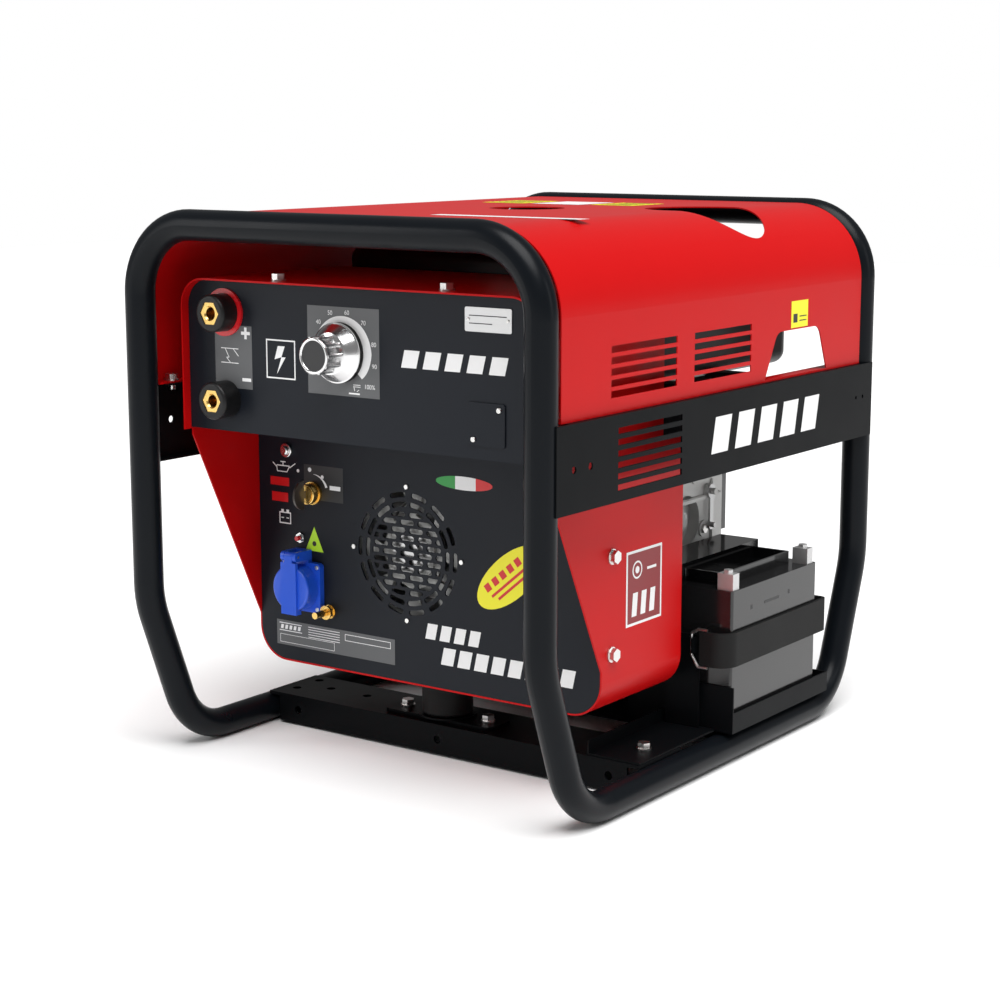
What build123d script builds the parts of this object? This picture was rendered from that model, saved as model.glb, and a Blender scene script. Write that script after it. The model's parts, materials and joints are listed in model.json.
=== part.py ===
from build123d import *
import math
import os

# Engine driven welder: a tubular roll frame round an air cooled engine, an alternator and a control box.
# Millimetres. +X is the operator's right along the control panel, +Y the rear, +Z up.
# The origin is on the ground under the middle of the machine.

# ---- Driving dimensions ----
TUBE_R = 17.0                # roll frame tube, outside
TUBE_WALL = 2.5
RAIL_X = 271.0               # tube centre lines
HOOP_Y = 346.6
HOOP_TOP_Z = 615.4
KNEE_Z = 187.5               # where each leg starts to slope inwards
RAIL_END_Y = 283.3
CORNER_R = 78.0
KNEE_R = 120.0

BAND_X = 290.0               # outer face of the side bands
BAND_Y = 347.0
BAND_Z = (344.0, 434.0)
SHEET = 2.0

HOOD_X = 282.5               # outside of the hood
HOOD_Y = (-328.5, 324.5)
HOOD_TOP = 627.0
HOOD_CORNER = 89.5
HOOD_FLANGE = 20.0

CASE_X = 243.0               # outside of the casing and of the control cover
COVER_Y = (-312.0, -70.0)
COVER_Z = (383.0, 555.0)
COVER_CORNER = 32.0
UPPER_PANEL_Y = -302.0       # face of the upper panel
LOWER_PANEL_Y = -190.0       # face of the lower panel
CASE_REAR_Y = -26.0
CASE_BOTTOM = 94.0
CASE_CORNER = 40.0
WING_FRONT_Y = -299.0
WING_LOW_Z = 147.0

SHAFT_X = -19.5              # common axis of the engine and the alternator
SHAFT_Z = 245.0
SHAFT_R = 14.0
RUNNING = 0.05               # radial clearance of a turning or sliding fit

BASE_TOP = 38.0              # top of the cross channels, welded on the rails
CHANNEL_Y = (63.0, 150.0)
MOUNT_Y = 115.0
ENGINE_RIGHT_X = 140.0
ENGINE_Y = (20.0, 243.0)
CRANKCASE_Z = (122.0, 318.0)
FAN_Y = (246.0, 292.0)

SOCKET_X = -185.0            # welding sockets
SOCKET_Z = (518.0, 421.0)    # plus, minus
SOCKET_BORE_R = 6.6
SOCKET_HEX = 24.0
SOCKET_FRONT_Y = -328.0
KNOB = (-19.5, 483.5)
KNOB_FRONT_Y = -345.0
KEY = (-157.0, 301.0)
LAMP = (-196.0, 348.0)
BREAKER = (-177.0, 246.0)
BREAKER_R = 3.0
OUTLET = (-172.5, 189.5)
OUTLET_HALF = 29.5
OUTLET_LID_R = 27.0
EARTH = (-134.0, 163.0)
EARTH_R = 4.0
EARTH_ROOT_R = 3.6         # where the thread is inside its nuts
VENT = (SHAFT_X, SHAFT_Z)

BATTERY_X = (155.0, 284.5)
BATTERY_Y = (17.0, 221.0)
BATTERY_Z = (40.5, 203.0)
STRAP_Z = (116.0, 156.0)
STRAP_T = 4.0

BOLT_R = 4.0                 # M8 flange bolts
BOLT_HOLE_R = 4.4
FUEL_CAP = (12.0, 0.0)

UP, DOWN = (0, 0, 1), (0, 0, -1)
FRONT, BACK = (0, -1, 0), (0, 1, 0)
RIGHT, LEFT = (1, 0, 0), (-1, 0, 0)


# ---- Shape helpers ----
def block(x, y, z):
    """A box between the low and high values of each axis."""
    centre = Pos(sum(x) / 2, sum(y) / 2, sum(z) / 2)
    return centre * Box(x[1] - x[0], y[1] - y[0], z[1] - z[0])


def centred(half_x, y, z, middle=0.0):
    """A box that is symmetric about x = middle."""
    return block((middle - half_x, middle + half_x), y, z)


def rod(start, direction, length, radius):
    """A round bar that starts at a point and runs along a direction."""
    bar = Cylinder(radius, length, align=(Align.CENTER, Align.CENTER, Align.MIN))
    return Plane(origin=start, z_dir=direction) * bar


def sleeve(start, direction, length, outer, inner):
    return rod(start, direction, length, outer) - rod(start, direction, length, inner)


def hexagon(start, direction, length, across_flats, turn=0.0):
    outline = RegularPolygon(across_flats / 2, 6, major_radius=False, rotation=turn)
    return Plane(origin=start, z_dir=direction) * extrude(outline, amount=length)


def group(*shapes):
    """Separate solids kept side by side in one node."""
    return Compound([solid for shape in shapes for solid in shape.solids()])


def front_plane(y):
    """A drawing plane at depth y whose two directions are X and Z, facing the operator."""
    return Plane(origin=(0, y, 0), x_dir=(1, 0, 0), z_dir=(0, -1, 0))


def rounded(solid, axis, radius):
    """Round every edge that runs along one axis."""
    return fillet(solid.edges().filter_by(axis), radius)


def arch(half_width, y, z, corner, sheet):
    """Sheet bent over like an upside-down U, open at the bottom and at both ends."""
    outer = centred(half_width, y, z)
    inner = centred(half_width - sheet, y, (z[0], z[1] - sheet))
    outer = fillet(outer.edges().filter_by(Axis.Y).group_by(Axis.Z)[-1], corner)
    inner = fillet(inner.edges().filter_by(Axis.Y).group_by(Axis.Z)[-1], corner - sheet)
    return outer - inner


def side_profile(points, half_width):
    """A prism across the whole machine whose outline is given in Y and Z."""
    outline = make_face(Polyline(*points, close=True))
    plane = Plane(origin=(-half_width, 0, 0), x_dir=(0, 1, 0), z_dir=(1, 0, 0))
    return plane * extrude(outline, amount=2 * half_width)


# ---- Fasteners ----
def flange_bolt(seat, outward, shank=10.0):
    """Hexagon flange bolt with its flange seated at a point, its shank going inwards."""
    inward = tuple(-value for value in outward)
    lifted = tuple(place + 1.8 * value for place, value in zip(seat, outward))
    head = rod(seat, outward, 1.8, 8.5) + hexagon(lifted, outward, 6.0, 13.0)
    return head + rod(seat, inward, shank, BOLT_R)


def pan_screw(seat, outward, radius, height, shank):
    """Small round headed screw with a cross slot left to the surface detail."""
    inward = tuple(-value for value in outward)
    head = rod(seat, outward, height, radius)
    head = fillet(head.edges().group_by(Axis.Y)[0], height * 0.6)
    return head + rod(seat, inward, shank, radius * 0.5)


CASE_BOLTS = [((side * CASE_X, -172.0, z), (side, 0, 0)) for side in (1, -1) for z in (271.0, 164.0)]
COVER_BOLTS = [((x, -291.0, COVER_Z[1]), UP) for x in (-115.0, 115.0)]
HOOD_BOLTS = [((side * 272.0, y, BAND_Z[1] + 1.5), UP) for side in (1, -1)
              for y in (-300.0, -90.0, 68.0, 290.0)]
BOTTOM_BOLTS = [((x, -150.0, CASE_BOTTOM), DOWN) for x in (-196.0, 157.0)]
TRAY_BOLTS = [((241.0, y, BASE_TOP + 2.5), UP) for y in (-99.0,)]
PLATE_BOLTS = [((SHAFT_X + side * 59.0, -MOUNT_Y, BASE_TOP + 4.0), UP) for side in (1, -1)]
ALL_BOLTS = CASE_BOLTS + COVER_BOLTS + HOOD_BOLTS + BOTTOM_BOLTS + TRAY_BOLTS + PLATE_BOLTS


def flange_bolts():
    return group(*[flange_bolt(seat, outward) for seat, outward in ALL_BOLTS])


def drilled(shape, bolts):
    """The shape with a clearance hole for each bolt."""
    for seat, outward in bolts:
        start = tuple(place + 12.0 * value for place, value in zip(seat, outward))
        inward = tuple(-value for value in outward)
        shape -= rod(start, inward, 28.0, BOLT_HOLE_R)
    return shape


# ---- Roll frame ----
def frame_tube(end):
    """Half of the roll frame: two rails that turn up into legs and meet in a hoop. end is -1 or +1."""
    right = [(RAIL_X, 0, TUBE_R), (RAIL_X, end * RAIL_END_Y, TUBE_R), (RAIL_X, end * HOOP_Y, KNEE_Z),
             (RAIL_X, end * HOOP_Y, HOOP_TOP_Z)]
    left = [(-x, y, z) for x, y, z in reversed(right)]
    radii = [CORNER_R, KNEE_R, CORNER_R, CORNER_R, KNEE_R, CORNER_R]
    path = FilletPolyline(*right, *left, radius=radii)
    start = Plane(origin=path @ 0, z_dir=path % 0)
    section = Circle(TUBE_R) - Circle(TUBE_R - TUBE_WALL)
    return sweep(start * section, path=path)


BAND_HOLES_Y = (-316.0, -286.0)
BAND_HOLE_Z = 388.0
BAND_HOLE_R = 4.0
BAND_SLOTS_Y = (-235.0, -109.0)
BAND_SLOT_PITCH = 11.7
BAND_SLOT_H = 6.5


def side_band(side):
    """Flat guard strip across both hoops with turned-in edges; side is -1 or +1."""
    flange_y = (-322.0, 318.0)
    web = block((BAND_X - SHEET, BAND_X), (-BAND_Y, BAND_Y), BAND_Z)
    top = block((258.0, BAND_X), flange_y, (BAND_Z[1] - SHEET, BAND_Z[1]))
    bottom = block((274.0, BAND_X), flange_y, (BAND_Z[0], BAND_Z[0] + SHEET))
    band = web + top + bottom
    for y in BAND_HOLES_Y:
        band -= rod((BAND_X - 5, y, BAND_HOLE_Z), RIGHT, 10, BAND_HOLE_R)
    for y in (304.0, 322.0):
        band -= rod((BAND_X - 5, y, BAND_HOLE_Z + 6), RIGHT, 10, 2.2)
    for n in range(6):
        low = 358.6 + n * BAND_SLOT_PITCH - BAND_SLOT_H / 2
        band -= block((BAND_X - 5, BAND_X + 5), BAND_SLOTS_Y, (low, low + BAND_SLOT_H))
    if side < 0:
        band = mirror(band, Plane.YZ)
    return drilled(band, [bolt for bolt in HOOD_BOLTS if bolt[0][0] * side > 0])


# ---- Base ----
def base_channel(end):
    """Cross channel on the rails, its top plate over the rails and its flanges between them."""
    y = sorted((end * CHANNEL_Y[0], end * CHANNEL_Y[1]))
    outer = end * CHANNEL_Y[1]
    inner = end * CHANNEL_Y[0]
    channel = centred(267.0, y, (BASE_TOP - 4, BASE_TOP))
    channel += centred(251.0, sorted((outer, outer - end * 3)), (3.0, BASE_TOP))
    channel += centred(251.0, sorted((inner, inner + end * 3)), (12.0, BASE_TOP))
    for x in (-222.0, -9.0, 227.0):
        channel -= rod((x, outer - end * 5, 20.0), (0, end, 0), 10, 5.0)
    for x, back in ((-247.0, 17.0), (-247.0, 59.0), (-210.0, 38.0), (-153.0, 38.0)):
        channel -= rod((x, end * (CHANNEL_Y[0] + back), BASE_TOP - 6), UP, 10, 5.5)
    if end < 0:
        return drilled(channel, PLATE_BOLTS + TRAY_BOLTS)
    return channel


REAR_MOUNTS_X = (SHAFT_X - 95.0, SHAFT_X + 95.0)


def rubber_mounts():
    """One large mount under the alternator and two under the engine."""
    front = rod((SHAFT_X, -MOUNT_Y, BASE_TOP + 6), UP, 42.0, 30.0)
    front = fillet(front.edges(), 4.0)
    rear = [fillet(rod((x, MOUNT_Y, BASE_TOP + 6), UP, 42.0, 26.0).edges(), 4.0) for x in REAR_MOUNTS_X]
    return group(front, *rear)


def mount_plates():
    """Steel plates and washers under and over the rubber mounts."""
    front = centred(78.0, (-MOUNT_Y - 24, -MOUNT_Y + 24), (BASE_TOP, BASE_TOP + 4), SHAFT_X)
    plates = [drilled(rounded(front, Axis.Z, 10.0), PLATE_BOLTS)]
    plates.append(rod((SHAFT_X, -MOUNT_Y, BASE_TOP + 4), UP, 2.0, 34.0))
    for x in REAR_MOUNTS_X:
        plates.append(rod((x, MOUNT_Y, BASE_TOP), UP, 6.0, 30.0))
    return group(*plates)


def engine_bed():
    """Pressed steel cradle that joins the alternator foot and the engine feet above the mounts."""
    z = (BASE_TOP + 48, BASE_TOP + 53)
    bed = centred(118.0, (75.0, 235.0), (z[0], z[1]), SHAFT_X)
    bed += centred(46.0, (-152.0, 75.0), (z[0], z[1]), SHAFT_X)
    for side in (1, -1):
        wall = sorted((SHAFT_X + side * 118, SHAFT_X + side * 114))
        bed += block(wall, (75.0, 235.0), (z[1], z[1] + 31))
    return bed


def battery_tray():
    """Folded tray beside the engine, with a long tongue forward on to the front channel."""
    z = (BASE_TOP, BASE_TOP + 2.5)
    tray = block((198.0, 266.0), (-148.0, 14.0), z)
    tray += block((198.0, 200.0), (-148.0, 14.0), (BASE_TOP, BASE_TOP + 17))
    tray += block((149.0, BAND_X - 0.5), (14.0, 248.0), z)
    tray += block((BAND_X - 2.5, BAND_X - 0.5), (14.0, 248.0), (BASE_TOP, 62.0))
    tray += block((149.0, 151.0), (14.0, 248.0), (BASE_TOP, 62.0))
    tray += block((149.0, BAND_X - 0.5), (246.0, 248.0), (BASE_TOP, 62.0))
    tray += block((149.0, BAND_X - 0.5), (14.0, 16.0), (BASE_TOP, 92.0))
    tray += block((204.0, 249.0), (6.0, 8.5), (BASE_TOP, 150.0)) + block((204.0, 249.0), (6.0, 16.0), z)
    tray += block((243.5, 246.0), (-4.0, 8.5), (130.0, 148.0))
    tray += block((205.0, 236.0), (246.0, 248.0), (BASE_TOP, 160.0))
    return drilled(tray, TRAY_BOLTS)


# ---- Hood ----
CUTOUT_POINTS = ((85.0, 436.5), (237.0, 436.5), (215.0, 489.0), (113.0, 489.0))
HOOD_SLOT_GROUPS = ((-238.0, -109.0), (-73.0, 52.0))


def hood():
    """Arched sheet hood with turned-in feet, side slots, side cut-outs and two openings in its top."""
    z = (BAND_Z[1], HOOD_TOP)
    shell = arch(HOOD_X, HOOD_Y, z, HOOD_CORNER, 1.5)
    foot = block((HOOD_X - HOOD_FLANGE, HOOD_X), HOOD_Y, (z[0], z[0] + 1.5))
    shell += foot + mirror(foot, Plane.YZ)
    for y in HOOD_SLOT_GROUPS:
        for n in range(5):
            middle = 453.7 + n * 11.5
            shell -= centred(HOOD_X + 5, y, (middle - 3.65, middle + 3.65)) - centred(HOOD_X - 20, y, z)
    window = side_profile(CUTOUT_POINTS, HOOD_X + 5)
    window = fillet(window.edges().filter_by(Axis.X).group_by(Axis.Z)[-1], 16.0)
    shell -= window
    scoop = Pos(191.0, 100.0, 560.0) * extrude(Ellipse(70.0, 65.0), amount=90.0)
    shell -= scoop
    shell -= rod((*FUEL_CAP, 600.0), UP, 40.0, 44.0)
    return drilled(shell, HOOD_BOLTS)


# ---- Control cover and panels ----
def upper_cover():
    """Arched cover of the control box."""
    return drilled(arch(CASE_X, COVER_Y, COVER_Z, COVER_CORNER, SHEET), COVER_BOLTS)


def upper_panel():
    """Face of the control box, with a floor turned back to the lower panel."""
    half = CASE_X - SHEET - 0.3
    panel = centred(half, (UPPER_PANEL_Y, UPPER_PANEL_Y + SHEET), (385.0, COVER_Z[1] - SHEET - 0.3))
    panel = fillet(panel.edges().filter_by(Axis.Y).group_by(Axis.Z)[-1], COVER_CORNER - SHEET - 0.3)
    panel += centred(half, (UPPER_PANEL_Y, LOWER_PANEL_Y - 0.5), (385.0, 387.0))
    for z in SOCKET_Z:
        panel -= rod((SOCKET_X, UPPER_PANEL_Y - 5, z), BACK, 12, 11.0)
    panel -= rod((KNOB[0], UPPER_PANEL_Y - 5, KNOB[1]), BACK, 12, 4.0)
    return panel


def lower_casing():
    """Trough of sheet round the alternator, its sides running forward under the control box."""
    upside_down = arch(CASE_X, (WING_FRONT_Y, CASE_REAR_Y), (-383.0, -CASE_BOTTOM), CASE_CORNER, SHEET)
    trough = mirror(upside_down, Plane.XY)
    outline = [(LOWER_PANEL_Y, CASE_BOTTOM - 1), (CASE_REAR_Y, CASE_BOTTOM - 1), (CASE_REAR_Y, 383.0),
               (WING_FRONT_Y, 383.0), (WING_FRONT_Y, 376.0), (LOWER_PANEL_Y, WING_LOW_Z)]
    casing = trough & side_profile(outline, CASE_X + 5)
    return drilled(casing, CASE_BOLTS + BOTTOM_BOLTS)


RING_RADII = (68.0, 57.0)
RING_SLOTS = 14
VENT_SLOT = (20.0, 6.0)
VENT_PERIOD = 25.2
VENT_ROW = 9.0
VENT_ROWS_R = 50.0


def vent_slots():
    """Air inlet outline: two rings of curved slots round staggered rows of straight ones."""
    slots = Sketch()
    for radius in RING_RADII:
        span = math.degrees(VENT_SLOT[0] / radius)
        for n in range(RING_SLOTS):
            start = n * 360 / RING_SLOTS - span / 2
            slots += SlotArc(CenterArc((0, 0), radius, start, span * 0.8), VENT_SLOT[1])
    rows = Sketch()
    for row in range(-5, 6):
        shift = VENT_PERIOD / 2 if row % 2 else 0.0
        for column in range(-3, 4):
            place = Pos(column * VENT_PERIOD + shift, row * VENT_ROW)
            rows += place * SlotOverall(VENT_SLOT[0], VENT_SLOT[1])
    return slots + (rows & Circle(VENT_ROWS_R))


def lower_panel():
    """Instrument panel in front of the alternator, with the round air inlet."""
    half = CASE_X - SHEET - 0.3
    y = (LOWER_PANEL_Y, LOWER_PANEL_Y + SHEET)
    panel = centred(half, y, (CASE_BOTTOM + SHEET + 0.3, 384.5))
    panel = fillet(panel.edges().filter_by(Axis.Y).group_by(Axis.Z)[0], CASE_CORNER - SHEET - 0.3)
    inlet = front_plane(LOWER_PANEL_Y - 5) * (Pos(*VENT) * vent_slots())
    panel -= extrude(inlet, amount=-12)
    for (x, z), radius in ((LAMP, 6.5), (KEY, 11.8), (BREAKER, 5.0), (EARTH, 4.4), (OUTLET, 24.0)):
        panel -= rod((x, LOWER_PANEL_Y - 5, z), BACK, 12, radius)
    return panel


BLANKING = ((150.0, 197.0), (399.0, 444.0))
BLANKING_SCREWS = ((190.0, 437.5), (157.5, 405.5))
RIVETS = ((151.0, 528.5), (200.5, 528.5))
OUTLET_CORNER = OUTLET_HALF - 4.5
OUTLET_SCREWS = [(OUTLET[0] + dx, OUTLET[1] + dz) for dx in (-OUTLET_CORNER, OUTLET_CORNER)
                 for dz in (-OUTLET_CORNER, OUTLET_CORNER)]


def blanking_plate():
    """Plate over the unused outlet position."""
    plate = block(BLANKING[0], (UPPER_PANEL_Y - 1.5, UPPER_PANEL_Y), BLANKING[1])
    plate = rounded(plate, Axis.Y, 3.0)
    for x, z in BLANKING_SCREWS:
        plate -= rod((x, UPPER_PANEL_Y - 3, z), BACK, 5, 1.7)
    return plate


def rating_plate():
    plate = rounded(block((146.5, 205.0), (UPPER_PANEL_Y - 0.8, UPPER_PANEL_Y), (516.0, 541.0)), Axis.Y, 2.0)
    for x, z in RIVETS:
        plate -= rod((x, UPPER_PANEL_Y - 3, z), BACK, 5, 1.1)
    return plate


def panel_fasteners():
    """Screws of the blanking plate, the air inlet and the outlet, and rivets of the rating plate."""
    upper, lower = UPPER_PANEL_Y, LOWER_PANEL_Y
    small = [pan_screw((x, upper - 1.5, z), FRONT, 3.0, 1.8, 1.4) for x, z in BLANKING_SCREWS]
    small += [pan_screw((x, upper - 0.8, z), FRONT, 1.8, 1.0, 0.7) for x, z in RIVETS]
    for n in range(4):
        angle = math.radians(90 * n)
        place = (VENT[0] + 77 * math.cos(angle), lower, VENT[1] + 77 * math.sin(angle))
        small.append(rod(place, FRONT, 1.6, 2.6))
    for x, z in OUTLET_SCREWS:
        small.append(pan_screw((x, lower - 7, z), FRONT, 2.6, 1.6, 5.0))
    return group(*small)


# ---- Welding sockets, control knob and instruments ----
def socket_collars():
    """Black collars of the two welding sockets, each with a hexagon seat for its insert."""
    collars = []
    for z in SOCKET_Z:
        length = UPPER_PANEL_Y - SOCKET_FRONT_Y
        collar = rod((SOCKET_X, UPPER_PANEL_Y, z), FRONT, length, 21.0)
        collar = fillet(collar.edges().group_by(Axis.Y)[0], 4.0)
        collar -= hexagon((SOCKET_X, UPPER_PANEL_Y + 1, z), FRONT, length + 2, SOCKET_HEX, 30.0)
        collars.append(collar)
    return group(*collars)


def socket_inserts():
    """Brass inserts of the welding sockets, with the plug bore, a threaded tail and its nut."""
    inserts = []
    for z in SOCKET_Z:
        back = UPPER_PANEL_Y + 2
        length = UPPER_PANEL_Y - SOCKET_FRONT_Y - 1
        insert = hexagon((SOCKET_X, UPPER_PANEL_Y, z), FRONT, length, SOCKET_HEX, 30.0)
        insert += rod((SOCKET_X, UPPER_PANEL_Y, z), BACK, 30.0, 9.0)
        insert += hexagon((SOCKET_X, back, z), BACK, 9.0, 26.0)
        insert -= rod((SOCKET_X, SOCKET_FRONT_Y, z), BACK, 33.0, SOCKET_BORE_R)
        mouth = Cone(SOCKET_BORE_R + 1.6, SOCKET_BORE_R, 1.6, align=(Align.CENTER, Align.CENTER, Align.MIN))
        insert -= Plane(origin=(SOCKET_X, SOCKET_FRONT_Y + 1, z), z_dir=BACK) * mouth
        inserts.append(insert)
    return group(*inserts)


def positive_ring():
    return sleeve((SOCKET_X, UPPER_PANEL_Y, SOCKET_Z[0]), FRONT, 3.0, 26.5, 21.2)


def turned(profile, centre):
    """Solid of revolution about an axis towards the operator; the profile is (radius, y) points."""
    outline = make_face(Polyline(*[(radius, y) for radius, y in profile], close=True))
    return Pos(centre[0], 0, centre[1]) * revolve(outline, Axis.Y)


def current_knob():
    """Welding current knob: wide conical skirt and a scalloped grip, hollow at the shaft."""
    back = UPPER_PANEL_Y - 0.8
    profile = [(3.0, back), (32.0, back), (32.0, back - 5.5), (32.5, back - 5.7), (32.5, back - 7),
               (31.0, back - 7.8), (22.5, back - 18), (17.0, back - 20), (17.0, KNOB_FRONT_Y + 6), (19.5, KNOB_FRONT_Y + 4),
               (19.5, KNOB_FRONT_Y), (3.0, KNOB_FRONT_Y)]
    knob = turned(profile, KNOB)
    for n in range(10):
        angle = math.radians(36 * n)
        place = (KNOB[0] + 18.2 * math.cos(angle), KNOB_FRONT_Y, KNOB[1] + 18.2 * math.sin(angle))
        knob += rod(place, BACK, 24.0, 2.4)
    return knob


def knob_shaft():
    return rod((KNOB[0], KNOB_FRONT_Y, KNOB[1]), BACK, 60.0, 3.0)


def potentiometer():
    """Rotary control behind the panel that the knob shaft turns in."""
    x, z = KNOB
    start = UPPER_PANEL_Y + SHEET
    body = rod((x, start, z), BACK, 14.0, 12.5)
    body += centred(9.0, (start, start + 14), (z - 22, z), x)
    return body - rod((x, start - 1, z), BACK, 20.0, 3.0 + RUNNING)


KEY_PLUG_R = 9.5


def key_switch():
    """Barrel of the starting switch, with a stepped bezel on the panel and a body behind it."""
    x, z = KEY
    front = LOWER_PANEL_Y - 14
    body = rod((x, LOWER_PANEL_Y - 4, z), BACK, 4.0, 13.5) + rod((x, front, z), BACK, 14.0, 12.0)
    body = fillet(body.edges().group_by(Axis.Y)[0], 1.5)
    body += rod((x, LOWER_PANEL_Y, z), BACK, 34.0, 11.5)
    return body - rod((x, front - 1, z), BACK, 46.0, KEY_PLUG_R + RUNNING)


def key_plug():
    """Turning plug of the starting switch, with its key slot."""
    x, z = KEY
    plug = rod((x, LOWER_PANEL_Y - 15, z), BACK, 44.0, KEY_PLUG_R)
    return plug - centred(1.1, (LOWER_PANEL_Y - 18, LOWER_PANEL_Y + 10), (z - 4.5, z + 4.5), x)


def ignition_key():
    """Key in its plug: flat blade and half-round bow, upright in the OFF position."""
    x, z = KEY
    face = LOWER_PANEL_Y - 15
    blade = centred(1.0, (face - 3, face + 22), (z - 4.0, z + 4.0), x)
    bow = rod((x - 1.4, face - 3, z), RIGHT, 2.8, 17.0)
    return blade + (bow & centred(3.0, (face - 24, face - 3), (z - 18, z + 18), x))


def oil_lamp():
    """Warning lamp: bezel, domed lens and body."""
    x, z = LAMP
    bezel = rod((x, LOWER_PANEL_Y, z), FRONT, 4.0, 8.5)
    bezel = fillet(bezel.edges().group_by(Axis.Y)[0], 1.5)
    lens = rod((x, LOWER_PANEL_Y - 4, z), FRONT, 3.0, 5.5)
    lens = fillet(lens.edges().group_by(Axis.Y)[0], 2.5)
    return bezel + lens + rod((x, LOWER_PANEL_Y, z), BACK, 22.0, 6.0)


def breaker_body():
    """Thermal circuit breaker: threaded neck, nut and body round its button."""
    x, z = BREAKER
    body = hexagon((x, LOWER_PANEL_Y, z), FRONT, 2.5, 11.0) + rod((x, LOWER_PANEL_Y - 2.5, z), FRONT, 2.5, 4.6)
    body += rod((x, LOWER_PANEL_Y, z), BACK, 30.0, 4.6) + centred(9.0, (-186.0, -160.0), (z - 14, z + 14), x)
    return body - rod((x, LOWER_PANEL_Y - 8, z), BACK, 28.0, BREAKER_R + RUNNING)


def breaker_button():
    x, z = BREAKER
    button = rod((x, LOWER_PANEL_Y - 9, z), BACK, 22.0, BREAKER_R)
    return fillet(button.edges().group_by(Axis.Y)[0], 1.0)


OUTLET_FACE_Y = LOWER_PANEL_Y - 20.0
HINGE_Z = OUTLET[1] + OUTLET_HALF + 9.0
HINGE_Y = OUTLET_FACE_Y - 4.0
HINGE_PIN_R = 1.6


def outlet_base():
    """Mains outlet: square flange, round neck with a plug well, and two hinge ears."""
    x, z = OUTLET
    flange = centred(OUTLET_HALF, (LOWER_PANEL_Y - 7, LOWER_PANEL_Y), (z - OUTLET_HALF, z + OUTLET_HALF), x)
    flange = rounded(flange, Axis.Y, 5.0)
    neck = rod((x, LOWER_PANEL_Y - 7, z), FRONT, 13.0, OUTLET_LID_R)
    base = flange + neck + rod((x, LOWER_PANEL_Y, z), BACK, 24.0, 23.5)
    base += centred(11.5, (LOWER_PANEL_Y - 7, LOWER_PANEL_Y), (HINGE_Z - 18, HINGE_Z + 5.5), x)
    for side in (1, -1):
        ear_x = sorted((x + side * 6.3, x + side * 11.5))
        ear = block(ear_x, (HINGE_Y - 5.5, LOWER_PANEL_Y - 5), (HINGE_Z - 5.5, HINGE_Z + 5.5))
        base += fillet(ear.edges().filter_by(Axis.X).group_by(Axis.Y)[0], 4.5)
    base -= rod((x, OUTLET_FACE_Y - 1, z), BACK, 36.0, 19.5)
    for side in (1, -1):
        base -= rod((x + side * 9.5, OUTLET_FACE_Y, z), BACK, 40.0, 2.6)
    for screw_x, screw_z in OUTLET_SCREWS:
        base -= rod((screw_x, LOWER_PANEL_Y - 9, screw_z), BACK, 8.0, 1.5)
    return base - rod((x - 20, HINGE_Y, HINGE_Z), RIGHT, 40.0, HINGE_PIN_R)


def outlet_hinge_pin():
    return rod((OUTLET[0] - 11.5, HINGE_Y, HINGE_Z), RIGHT, 23.0, HINGE_PIN_R)


def outlet_lid():
    """Round lid with a raised tongue that runs up to a knuckle on the hinge pin."""
    x, z = OUTLET
    back = OUTLET_FACE_Y - 0.4
    lid = rod((x, back, z), FRONT, 6.0, OUTLET_LID_R)
    lid = fillet(lid.edges().group_by(Axis.Y)[0], 2.5)
    tongue = centred(11.5, (back - 9, back - 5), (z - OUTLET_LID_R - 3, HINGE_Z - 7), x)
    tongue += centred(11.5, (back - 9, back), (z - OUTLET_LID_R - 3, z - OUTLET_LID_R + 4), x)
    tongue += centred(6.0, (HINGE_Y - 5.4, back - 1), (HINGE_Z - 12, HINGE_Z), x)
    lid += tongue + rod((x - 6, HINGE_Y, HINGE_Z), RIGHT, 12.0, 5.4)
    return lid - rod((x - 20, HINGE_Y, HINGE_Z), RIGHT, 40.0, HINGE_PIN_R + RUNNING)


def earth_stud():
    """Stud through the panel, drawn at its thread root inside the nuts and at full size in front of them."""
    x, z = EARTH
    return (rod((x, LOWER_PANEL_Y + 14, z), FRONT, 23.6, EARTH_ROOT_R)
            + rod((x, LOWER_PANEL_Y - 9.6, z), FRONT, 18.4, EARTH_R))


def earth_nuts():
    """Washers and nuts that hold the earth stud on the panel."""
    x, z = EARTH
    pieces = [rod((x, LOWER_PANEL_Y, z), FRONT, 1.6, 8.2),
              hexagon((x, LOWER_PANEL_Y - 1.6, z), FRONT, 6.0, 13.0)]
    pieces += [rod((x, LOWER_PANEL_Y - 7.6, z), FRONT, 1.6, 8.2),
               hexagon((x, LOWER_PANEL_Y + SHEET, z), BACK, 6.0, 13.0)]
    bore = rod((x, LOWER_PANEL_Y - 20, z), BACK, 40.0, EARTH_ROOT_R)
    return group(*[piece - bore for piece in pieces])


# ---- Alternator ----
ALT_R = 92.0
BELL_Y = (-178.0, -148.0)
STATOR_Y = (-148.0, -50.0)
HOUSING_Y = (-50.0, 20.0)
BEARING_R = 26.0


def axial(y, radius):
    """A disc or bar on the common shaft axis."""
    return rod((SHAFT_X, y[0], SHAFT_Z), BACK, y[1] - y[0], radius)


def end_bell():
    """Front end shield of the alternator with cooling windows and a bearing boss."""
    bell = axial(BELL_Y, ALT_R) - axial((BELL_Y[0] + 6, BELL_Y[1]), ALT_R - 6)
    bell = fillet(bell.edges().group_by(Axis.Y)[0], 4.0)
    bell += axial((BELL_Y[0] - 4, BELL_Y[0] + 18), BEARING_R + 7)
    for n in range(8):
        angle = 45 * n + 22.5
        window = Pos(58, 0) * Rectangle(34.0, 26.0)
        window = front_plane(BELL_Y[0] - 8) * (Pos(SHAFT_X, SHAFT_Z) * (Rot(0, 0, angle) * window))
        bell -= extrude(window, amount=-16)
    return bell - axial((BELL_Y[0] - 10, BELL_Y[0] + 20), BEARING_R)


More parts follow.
